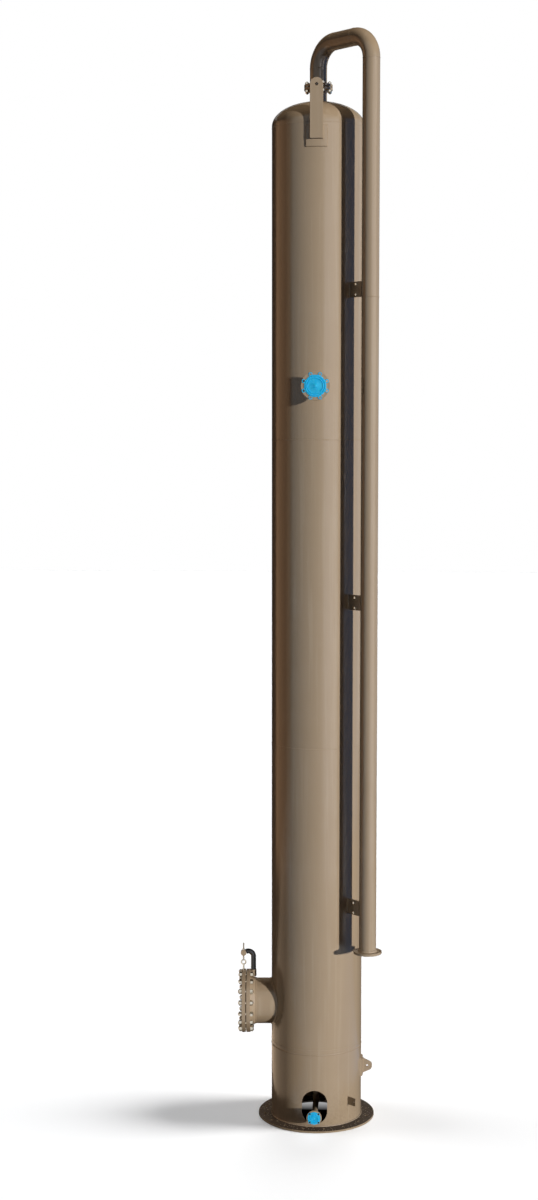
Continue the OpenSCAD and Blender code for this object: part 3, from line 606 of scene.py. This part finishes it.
def hexNut(s):
    high, corner = s["nut"], s["flats"] / math.sqrt(3)
    turned = hexagon["turned"] * s["flats"] / 2
    slope = (corner - turned) * hexagon["slope"]
    wide = corner + hexagon["clear"]
    bpy.ops.object.select_all(action="DESELECT")
    bpy.ops.mesh.primitive_cylinder_add(vertices=6, radius=corner * mm, depth=hexagon["blank"] * high * mm)
    nut = bpy.context.view_layer.objects.active
    lens = spinOutline([(0, -high / 2), (turned, -high / 2), (wide, slope - high / 2),
                        (wide, high / 2 - slope), (turned, high / 2), (0, high / 2)], hexagon["steps"])
    pick(nut)
    cut = nut.modifiers.new("turned corners", "BOOLEAN")
    cut.operation = "INTERSECT"
    cut.solver = "MANIFOLD"
    cut.object = lens
    bpy.ops.object.modifier_apply(modifier=cut.name)
    discard(lens)
    return nut


def studWithNuts(s, grip):
    rod = threadedRod(s, grip + 2 * (s["nut"] + s["end"]))
    nut = hexNut(s)
    ends = [copyTo(nut, Matrix.Translation((0, 0, side * (grip + s["nut"]) / 2 * mm)))
            for side in (-1, 1)]
    discard(nut)
    return joinAll([rod] + ends)


def spreadStuds(model, matrices):
    copies = [copyTo(model, m) for m in matrices]
    discard(model)
    return joinAll(copies)


# Places on a bolt circle, each halfway between two marks, on a face given by its matrix
def boltPlaces(s, face):
    radius = s["circle"] / 2 * mm
    return [face @ Matrix.Rotation((i + 0.5) * 2 * math.pi / s["count"], 4, "Z")
            @ Matrix.Translation((radius, 0, 0)) for i in range(s["count"])]


def middleOf(node):
    low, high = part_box(node)
    return (low + high) / 2


def lengthAlong(node, direction):
    low, high = reachOf(node, direction)
    return (high - low) / mm


topGrip = lengthAlong("top_studs", axisZ) - 2 * (topStuds["nut"] + topStuds["end"])
ring = boltPlaces(topStuds, Matrix.Translation(middleOf("top_studs")))
topStudSet = spreadStuds(studWithNuts(topStuds, topGrip), ring)
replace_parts(addPiece(topStudSet, "top_flange_studs", "zinc_plate", cutAngle), "top_studs")

manwayGrip = lengthAlong("manway_studs", manwayOut) - 2 * (manwayStuds["nut"] + manwayStuds["end"])
faceManway = manwayOut.to_track_quat("Z", "Y").to_matrix().to_4x4()
ring = boltPlaces(manwayStuds, Matrix.Translation(middleOf("manway_studs")) @ faceManway)
manwayStudSet = spreadStuds(studWithNuts(manwayStuds, manwayGrip), ring)
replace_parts(addPiece(manwayStudSet, "manway_bolting", "zinc_plate", cutAngle), "manway_studs")

clipGrip = 2 * brackets["plateT"]
clipMiddle = (vesselR + pipeReach - pipeR) / 2
acrossClip = outward.to_track_quat("X", "Z").to_matrix().to_4x4()
acrossClip = acrossClip @ Matrix.Rotation(math.pi / 2, 4, "X")
places = []
for level in ("low", "middle", "high"):
    middleZ = middleOf("shell_clip_" + level).z
    for side in (-1, 1):
        spot = outward * clipMiddle + axisZ * (middleZ + side * clipBolts["spacing"] / 2 * mm)
        places.append(Matrix.Translation(spot) @ acrossClip)
clipBoltSet = spreadStuds(studWithNuts(clipBolts, clipGrip), places)
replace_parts(addPiece(clipBoltSet, "bracket_bolts", "zinc_plate", cutAngle), "clip_bolts")

# Lifting screw of the davit: threaded all the way, with a nut that rests on the boss
screw = {"rod": 14, "flats": 22, "nut": 11.2, "end": 0, "pitch": 2}
screwLow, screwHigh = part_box("davit_screw")
screwLength = (screwHigh.z - screwLow.z) / mm
rod = threadedRod(dict(screw, nut=0, end=screwLength / 2), screwLength)
rod.data.transform(Matrix.Translation(middleOf("davit_screw")))
nut = hexNut(screw)
seat = middleOf("davit_screw")
seat.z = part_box("davit_boss")[1].z + screw["nut"] / 2 * mm
nut.data.transform(Matrix.Translation(seat))
liftingScrew = addPiece(joinAll([rod, nut]), "davit_lifting_screw", "zinc_plate", cutAngle)
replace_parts(liftingScrew, "davit_screw")
print("studs, nuts and lifting screw made")


# Turned pieces: flanges, cover and base ring, spun from an outline with broken corners and then drilled.
# bore and pipe are radii.
sixInch = {"od": 279.4, "thick": 25.4, "face": 215.9, "hub": 192, "length": 39.6, "draft": 3, "bore": 77.05,
           "pipe": 84.15, "circle": 241.3, "count": 8, "hole": 22.2}
twoInch = {"od": 152.4, "thick": 19.1, "face": 92.1, "hub": 78, "length": 25.4, "draft": 3, "bore": 24.65,
           "pipe": 30.15, "circle": 120.7, "count": 4, "hole": 19.1}
manwayRing = {"od": 635, "thick": 39.7, "face": 533.4, "hub": 505, "length": 97, "draft": 21.5, "bore": 228.9,
              "pipe": 230.9, "circle": 577.9, "count": 16, "hole": 31.8}
footRing = {"od": 1180, "id": 610, "thick": 19, "circle": 1054, "count": 16, "hole": 28}
turning = {"corner": 1.8, "cornerShare": 0.4, "faceH": 1.6, "leastPipe": 1, "steps": 128, "footSteps": 256,
           "drill": 4, "holeSteps": 32}


# Breaks each corner of an outline with a small chamfer; an open outline keeps its two ends
def brokenCorners(corners, closed=True):
    spots = [Vector(c) for c in corners]
    points = []
    for before, here, after in zip(spots[-1:] + spots[:-1], spots, spots[1:] + spots[:1]):
        ways = [before - here, after - here]
        points += [here + way.normalized() * min(turning["corner"], turning["cornerShare"] * way.length)
                   for way in ways]
    if closed:
        return points + points[:1]
    return [spots[0]] + points[2:-2] + [spots[-1]]


def drilled(obj, s):
    bores = []
    radius = s["circle"] / 2 * mm
    for i in range(s["count"]):
        angle = (i + 0.5) * 2 * math.pi / s["count"]
        bpy.ops.object.select_all(action="DESELECT")
        bpy.ops.mesh.primitive_cylinder_add(
            vertices=turning["holeSteps"], radius=s["hole"] / 2 * mm, depth=turning["drill"] * s["thick"] * mm,
            location=(radius * math.cos(angle), radius * math.sin(angle), 0))
        bores.append(bpy.context.view_layer.objects.active)
    drill = joinAll(bores)
    pick(obj)
    cut = obj.modifiers.new("bolt holes", "BOOLEAN")
    cut.operation = "DIFFERENCE"
    cut.solver = "MANIFOLD"
    cut.object = drill
    bpy.ops.object.modifier_apply(modifier=cut.name)
    discard(drill)
    return obj


# A flange with its face at z 0 and its hub below, on a pipe that ends at the given depth
def turnedFlange(s, depth):
    rim, face, hub, step = s["od"] / 2, s["face"] / 2, s["hub"] / 2, turning["faceH"]
    body = [(s["bore"], 0), (face, 0), (face, -step), (rim, -step), (rim, -s["thick"]), (hub, -s["thick"]),
            (hub - s["draft"], -s["length"])]
    if depth > s["length"] + turning["leastPipe"]:
        body += [(s["pipe"], -s["length"]), (s["pipe"], -depth)]
    return drilled(spinOutline(brokenCorners(body + [(s["bore"], -depth)]), turning["steps"]), s)


faceDown = Matrix.Rotation(math.pi, 4, "X")
faceForward = Matrix.Rotation(math.pi / 2, 4, "X")  # turns +Z to the front, which is -Y
flangeSeats = {
    "top_nozzle": (sixInch, lengthAlong("top_nozzle", axisZ), Matrix.Translation((0, 0, topNozzle))),
    "riser_flange": (sixInch, lengthAlong("riser_flange", axisZ),
                     Matrix.Translation((0, 0, riser[0].z)) @ faceDown),
    "downcomer_flange": (sixInch, sixInch["length"],
                         Matrix.Translation(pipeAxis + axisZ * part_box("downcomer_flange")[0].z) @ faceDown),
    "side_nozzle": (sixInch, lengthAlong("side_nozzle", axisY),
                    Matrix.Translation((0, sideLow.y, sideZ)) @ faceForward),
    "drain_flange": (twoInch, twoInch["length"], Matrix.Translation((0, drainLow.y, drainZ)) @ faceForward),
    "manway_flange": (manwayRing, manwayRing["length"],
                      Matrix.Translation(manwayOut * manwayFace + axisZ * manwayZ) @ faceManway),
}
for node, (s, depth, seat) in flangeSeats.items():
    flange = turnedFlange(s, depth)
    flange.data.transform(seat)
    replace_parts(addPiece(flange, "turned_" + node, "tan_paint", cutAngle), node)

lidRim, lidFace, lidStep = manwayRing["od"] / 2, manwayRing["face"] / 2, turning["faceH"]
lid = [(0, 0), (lidFace, 0), (lidFace, lidStep), (lidRim, lidStep),
       (lidRim, manwayRing["thick"]), (0, manwayRing["thick"])]
cover = drilled(spinOutline(brokenCorners(lid, False), turning["steps"]), manwayRing)
lidSeat = manwayOut * reachOf("manway_cover", manwayOut)[0] + axisZ * manwayZ
cover.data.transform(Matrix.Translation(lidSeat) @ faceManway)
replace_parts(addPiece(cover, "turned_manway_cover", "tan_paint", cutAngle), "manway_cover")

footprint = [(footRing["id"] / 2, 0), (footRing["od"] / 2, 0),
             (footRing["od"] / 2, footRing["thick"]), (footRing["id"] / 2, footRing["thick"])]
foot = drilled(spinOutline(brokenCorners(footprint), turning["footSteps"]), footRing)
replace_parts(addPiece(foot, "turned_base_ring", "tan_paint", cutAngle), "base_ring")
print("turned pieces made")


# Flange caps: a moulded disc with two rounded rings and a dished middle, and an ear at each bolt hole
sideCap = {"disc": 107.5, "rim": 98, "circle": 241.3, "hole": 22.2, "count": 8, "thick": 4, "ear": 8,
           "ring": 4, "ringW": 7, "flat": 12}
drainCap = dict(sideCap, disc=64, rim=46, circle=120.7, hole=19.1, count=4, ear=4, flat=9)
mould = {"root": 0.6, "draft": 0.1, "soft": 0.25, "under": 0.5, "edge": 0.8, "button": (6, 4), "buttonH": 1.2,
         "earInset": 0.1, "steps": 72, "earSteps": 36, "smoothAngle": 40}


def roundedRing(radius, width, low, high):
    inner, outer = radius - width, radius
    soft, root, draft = width * mould["soft"], mould["root"], mould["draft"]
    return [(outer + root, low), (outer, low + root), (outer - draft, high - soft), (outer - soft, high),
            (inner + soft, high), (inner + draft, high - soft), (inner, low + root), (inner - root, low)]


def flangeCap(s):
    disc, outerRing, top = s["disc"], s["rim"], s["thick"]
    under, edge, root, inset = mould["under"], mould["edge"], mould["root"], mould["earInset"]
    crown = top + mould["buttonH"]
    innerRing = outerRing - s["ringW"] - s["flat"]
    outline = [(0, 0), (disc - under, 0), (disc, under), (disc, top - edge), (disc - edge, top)]
    outline += roundedRing(outerRing, s["ringW"], top, top + s["ring"])
    outline += roundedRing(innerRing, s["ringW"], top, top + s["ring"])
    outline += [(mould["button"][0], top), (mould["button"][1], crown), (0, crown)]
    body = drilled(spinOutline(outline, mould["steps"]), s)
    lip = s["hole"] / 2
    earR, thin = lip + s["ear"], top - 2 * inset
    ear = spinOutline([(lip, inset), (earR - under, inset), (earR, inset + under), (earR, thin - edge),
                       (earR - edge, thin), (lip + root, thin), (lip, thin - root), (lip, inset)],
                      mould["earSteps"])
    ears = [copyTo(ear, place) for place in boltPlaces(s, Matrix.Identity(4))]
    discard(ear)
    return joinAll([body] + ears)


for s, node, name in ((sideCap, "side_nozzle_cap", "side_nozzle_flange_cap"),
                      (drainCap, "drain_cap", "drain_flange_cap")):
    cap = flangeCap(s)
    seat = middleOf(node)
    seat.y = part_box(node)[1].y
    cap.data.transform(Matrix.Translation(seat) @ faceForward)
    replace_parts(addPiece(cap, name, "blue_plastic", mould["smoothAngle"]), node)
print("flange caps made")


# Plates: copies of the frame's own plates with their cut edges ground off, by the widths given in mm
plates = {
    "front_lifting_lug": 2.5, "back_lifting_lug": 2.5, "front_lug_pad": 1.5, "back_lug_pad": 1.5,
    "tailing_lug": 2.5, "tailing_pad": 1.5, "grounding_lug": 1.2, "davit_socket": 0.8, "davit_boss": 2,
    "shell_clip_low": 1.2, "shell_clip_middle": 1.2, "shell_clip_high": 1.2,
    "pipe_clip_low": 1.2, "pipe_clip_middle": 1.2, "pipe_clip_high": 1.2,
}
grinding = {"merge": 0.01, "flat": 1, "sharp": 40}  # mm, and two angles in degrees


def groundPlate(node, width):
    plate = bpy.data.objects.new(node + "_plate", nodes[node].data.copy())
    bpy.context.collection.objects.link(plate)
    pick(plate)
    bpy.ops.mesh.customdata_custom_splitnormals_clear()
    bpy.ops.object.mode_set(mode="EDIT")
    bpy.ops.mesh.select_all(action="SELECT")
    bpy.ops.mesh.remove_doubles(threshold=grinding["merge"] * mm)
    bpy.ops.mesh.dissolve_limited(angle_limit=math.radians(grinding["flat"]))
    bpy.ops.object.mode_set(mode="OBJECT")
    edge = plate.modifiers.new("ground edges", "BEVEL")
    edge.width = width * mm
    edge.segments = 1
    edge.limit_method = "ANGLE"
    edge.angle_limit = math.radians(grinding["sharp"])
    bpy.ops.object.modifier_apply(modifier=edge.name)
    return plate


for node, width in plates.items():
    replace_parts(addPiece(groundPlate(node, width), node + "_plate", "tan_paint", cutAngle), node)
print("plates made")


# Camera where the photographer stood: bearing from the front, height, and turn off the vessel axis
view = {"lens": 56.94, "sensor": 36, "distance": 19.011, "height": 6.9005, "bearing": 2.2, "tilt": 4.846,
        "turn": 1.464, "clipEnd": 500}
cameraData = bpy.data.cameras.new("camera")
cameraData.lens = view["lens"]
cameraData.sensor_width = view["sensor"]  # mm, along the long side of the picture
cameraData.clip_end = view["clipEnd"]
camera = bpy.data.objects.new("camera", cameraData)
bpy.context.scene.collection.objects.link(camera)
camera.location = onShell(view["bearing"], view["height"], view["distance"])
camera.rotation_euler = (math.radians(90 - view["tilt"]), 0, math.radians(view["bearing"] + view["turn"]))
bpy.context.scene.camera = camera


# Lamps: a low hard key from the right that throws the pipe's shadow on the shell, three suns for the floor
# alone, soft fill from the sides, back and top and low down, and two soft boxes that only show as sheen
key = {"bearing": 49.3, "height": 8, "strength": 3.12, "angle": 2, "colour": "#FFF7ED"}
floorSuns = {
    "floorRight": {"bearing": 95, "height": 23, "share": 0.6, "angle": 24},
    "floorBack": {"bearing": 176, "height": 32, "share": 0.2, "angle": 36},
    "floorLeft": {"bearing": -102, "height": 26, "share": 0.2, "angle": 36},
}
sunDistance = 30
panels = {
    "leftFill": {"bearing": -112, "distance": 12, "height": 5, "size": (4, 10),
                 "energy": 120, "colour": "#FFD4B0"},
    "rightFill": {"bearing": 95, "distance": 12, "height": 5, "size": (4, 10),
                  "energy": 45, "colour": "#A4C6FF"},
    "backFill": {"bearing": 176, "distance": 12, "height": 5, "size": (6, 10),
                 "energy": 1300, "colour": "#FFF4E8"},
    "topFill": {"bearing": 0, "distance": 1, "height": 20, "aim": 0, "size": (5, 5),
                "energy": 280, "colour": "#FFE6C8"},
    "baseFill": {"bearing": -25, "distance": 2.5, "height": 0.3, "size": (1.5, 0.4),
                 "energy": 2.5, "colour": "#FFE8D0"},
    "lowFill": {"bearing": 49.3, "distance": 12, "height": 1, "size": (0.5, 2),
                "energy": 75, "colour": "#D4E2FF"},
    "leftSheen": {"bearing": -97, "distance": 11, "height": 6, "size": (11.2, 14),
                  "energy": 620, "colour": "#FFC694", "sheen": True},
    "rightSheen": {"bearing": 45, "distance": 11, "height": 6, "size": (11.7, 14),
                   "energy": 880, "colour": "#E8EEFF", "sheen": True},
}


def aimAt(lamp, target):
    lamp.rotation_euler = (target - lamp.location).to_track_quat("-Z", "Y").to_euler()


def addSun(name, s):
    data = bpy.data.lights.new(name, "SUN")
    data.energy = s["strength"]
    data.angle = math.radians(s["angle"])
    data.color = linear(s["colour"])[:3]
    lamp = bpy.data.objects.new(name, data)
    bpy.context.scene.collection.objects.link(lamp)
    lamp.location = onShell(s["bearing"], sunDistance * math.tan(math.radians(s["height"])), sunDistance)
    aimAt(lamp, Vector((0, 0, 0)))
    lamp.visible_glossy = False
    return lamp


def addPanel(name, s):
    data = bpy.data.lights.new(name, "AREA")
    data.shape = "RECTANGLE"
    data.size, data.size_y = s["size"]
    data.energy = s["energy"]
    data.color = linear(s["colour"])[:3]
    lamp = bpy.data.objects.new(name, data)
    bpy.context.scene.collection.objects.link(lamp)
    lamp.location = onShell(s["bearing"], s["height"], s["distance"])
    aimAt(lamp, Vector((0, 0, s.get("aim", s["height"]))))
    lamp.visible_camera = False
    lamp.visible_diffuse = not s.get("sheen", False)
    lamp.visible_glossy = s.get("sheen", False)
    return lamp


keyLamp = addSun("key", key)
floorLamps = []
for name, s in floorSuns.items():
    strength = s["share"] * math.pi / math.sin(math.radians(s["height"]))
    floorLamps.append(addSun(name, dict(s, strength=strength, colour="#FFFFFF")))
boxes = [addPanel(name, s) for name, s in panels.items()]


# World and floor look white to the camera and in reflections, and light the object only a little
studio = {"fill": "#B4CBF0", "fillStrength": 0.03, "floorSize": 160,
          "floorSeen": "#FBFBFB", "floorBounce": "#242220", "floorGlow": 0.05}
pureWhite = linear("#FFFFFF")


def seenWhite(tree):
    path = addNode(tree, "ShaderNodeLightPath")
    both = addNode(tree, "ShaderNodeMath",
                   {0: path.outputs["Is Camera Ray"], 1: path.outputs["Is Glossy Ray"]}, operation="MAXIMUM")
    anySeen = addNode(tree, "ShaderNodeMath",
                      {0: both.outputs["Value"], 1: path.outputs["Is Transmission Ray"]}, operation="MAXIMUM")
    return anySeen.outputs["Value"]


world = bpy.data.worlds.new("studio")
bpy.context.scene.world = world
world.use_nodes = True
tree = world.node_tree
tree.nodes.clear()
soft = addNode(tree, "ShaderNodeBackground",
               {"Color": linear(studio["fill"]), "Strength": studio["fillStrength"]})
white = addNode(tree, "ShaderNodeBackground", {"Color": pureWhite, "Strength": 1.0})
choice = addNode(tree, "ShaderNodeMixShader",
                 {0: seenWhite(tree), 1: soft.outputs["Background"], 2: white.outputs["Background"]})
addNode(tree, "ShaderNodeOutputWorld", {"Surface": choice.outputs["Shader"]})

floorMaterial, tree = bareMaterial("paleFloor")
tone = addNode(tree, "ShaderNodeMix",
               {0: seenWhite(tree), 6: linear(studio["floorBounce"]), 7: linear(studio["floorSeen"])},
               data_type="RGBA")
lit = addNode(tree, "ShaderNodeBsdfDiffuse", {"Color": tone.outputs[2]})
faint = addNode(tree, "ShaderNodeMath", {0: seenWhite(tree), 1: studio["floorGlow"]}, operation="MULTIPLY")
glow = addNode(tree, "ShaderNodeEmission", {"Color": pureWhite, "Strength": faint.outputs["Value"]})
surface = addNode(tree, "ShaderNodeAddShader", {0: lit.outputs["BSDF"], 1: glow.outputs["Emission"]})
addNode(tree, "ShaderNodeOutputMaterial", {"Surface": surface.outputs["Shader"]})

bpy.ops.object.select_all(action="DESELECT")
bpy.ops.mesh.primitive_plane_add(size=studio["floorSize"], location=(0, 0, 0))
floor = bpy.context.view_layer.objects.active
floor.name = "floor"
floor.data.materials.append(floorMaterial)

# Ground inside the skirt: painted light glowing to the camera, painted shade behind the opening, paler at the
# back
inside = {"radius": 310, "steps": 64, "height": 2, "dark": 70, "pale": 305, "level": 0.42}
paintedGroundMaterial, tree = bareMaterial("paintedLightAndShadeGround")
where = addNode(tree, "ShaderNodeSeparateXYZ",
                {"Vector": addNode(tree, "ShaderNodeTexCoord").outputs["Object"]})
# painted shade at the front rising to painted light at the back, seen by the camera and in reflections
shadeToLight = addNode(tree, "ShaderNodeMapRange",
               {"Value": where.outputs["Y"], "From Min": inside["dark"] * mm, "From Max": inside["pale"] * mm,
                "To Max": inside["level"]})
seen = addNode(tree, "ShaderNodeMath", {0: shadeToLight.outputs["Result"], 1: seenWhite(tree)}, operation="MULTIPLY")
glow = addNode(tree, "ShaderNodeEmission", {"Color": pureWhite, "Strength": seen.outputs["Value"]})
addNode(tree, "ShaderNodeOutputMaterial", {"Surface": glow.outputs["Emission"]})
bpy.ops.object.select_all(action="DESELECT")
bpy.ops.mesh.primitive_circle_add(vertices=inside["steps"], radius=inside["radius"] * mm, fill_type="NGON",
                                  location=(0, 0, inside["height"] * mm))
paintedGround = bpy.context.view_layer.objects.active
paintedGround.name = "paintedLightAndShadeGround"
paintedGround.data.materials.append(paintedGroundMaterial)


# Flags: cloths that only the gloss of the object sees. Those at the sides, at the back and overhead give its
# round sides their dark edges, and two that lie at the sides tint its low reflections; the front stays white.
flags = {
    "backFlag": {"bearing": 180, "distance": 14, "height": 8, "size": (26, 16), "colour": "#101012"},
    "leftFlag": {"bearing": -105, "distance": 14, "height": 8, "size": (23, 16), "colour": "#2A2018"},
    "rightFlag": {"bearing": 100, "distance": 14, "height": 8, "size": (14, 16), "colour": "#6A98CC"},
    "groundFlag": {"bearing": 180, "distance": 8.3, "height": 0.001, "size": (34, 18),
                   "colour": "#332B24", "flat": True},
    "leftGround": {"bearing": -90, "distance": 7.05, "height": 0.002, "size": (12, 5),
                   "colour": "#E8CCAE", "flat": True, "strength": 1.5},
    "rightGround": {"bearing": 90, "distance": 9, "height": 0.002, "size": (15, 3.2),
                    "colour": "#6A98CC", "flat": True},
    "roofFlag": {"bearing": 180, "distance": 8, "height": 24, "size": (72, 40),
                 "colour": "#564836", "flat": True},
}
for name, s in flags.items():
    cloth, tree = bareMaterial(name + "Cloth")
    dim = addNode(tree, "ShaderNodeEmission",
                  {"Color": linear(s["colour"]), "Strength": s.get("strength", 1.0)})
    addNode(tree, "ShaderNodeOutputMaterial", {"Surface": dim.outputs["Emission"]})
    bpy.ops.object.select_all(action="DESELECT")
    bpy.ops.mesh.primitive_plane_add(size=1, location=onShell(s["bearing"], s["height"], s["distance"]))
    flag = bpy.context.view_layer.objects.active
    flag.name = name
    flag.scale = (*s["size"], 1)
    if not s.get("flat", False):
        flag.rotation_euler = (math.pi / 2, 0, math.radians(s["bearing"]))
    flag.data.materials.append(cloth)
    for way in ("camera", "diffuse", "transmission", "shadow", "volume_scatter"):
        setattr(flag, "visible_" + way, False)


# The key and the panels leave the floor out. The floor's own lamps light nothing else, and only the foot
# of the object blocks them, so that its shadow stays short and soft.
def linkGroup(name, objs, state):
    group = bpy.data.collections.new(name)
    for obj in objs:
        group.objects.link(obj)
    for member in group.collection_objects:
        member.light_linking.link_state = state
    return group


for lamp in [keyLamp] + boxes:
    lamp.light_linking.receiver_collection = linkGroup(lamp.name + "Receivers", [floor], "EXCLUDE")
for lamp in floorLamps:
    blockers = linkGroup(lamp.name + "Blockers", [foot, nodes["skirt"]], "INCLUDE")
    lamp.light_linking.receiver_collection = linkGroup(lamp.name + "Receivers", [floor], "INCLUDE")
    lamp.light_linking.blocker_collection = blockers
bpy.context.scene.view_settings.view_transform = "Standard"
print("camera, lamps and floor set")
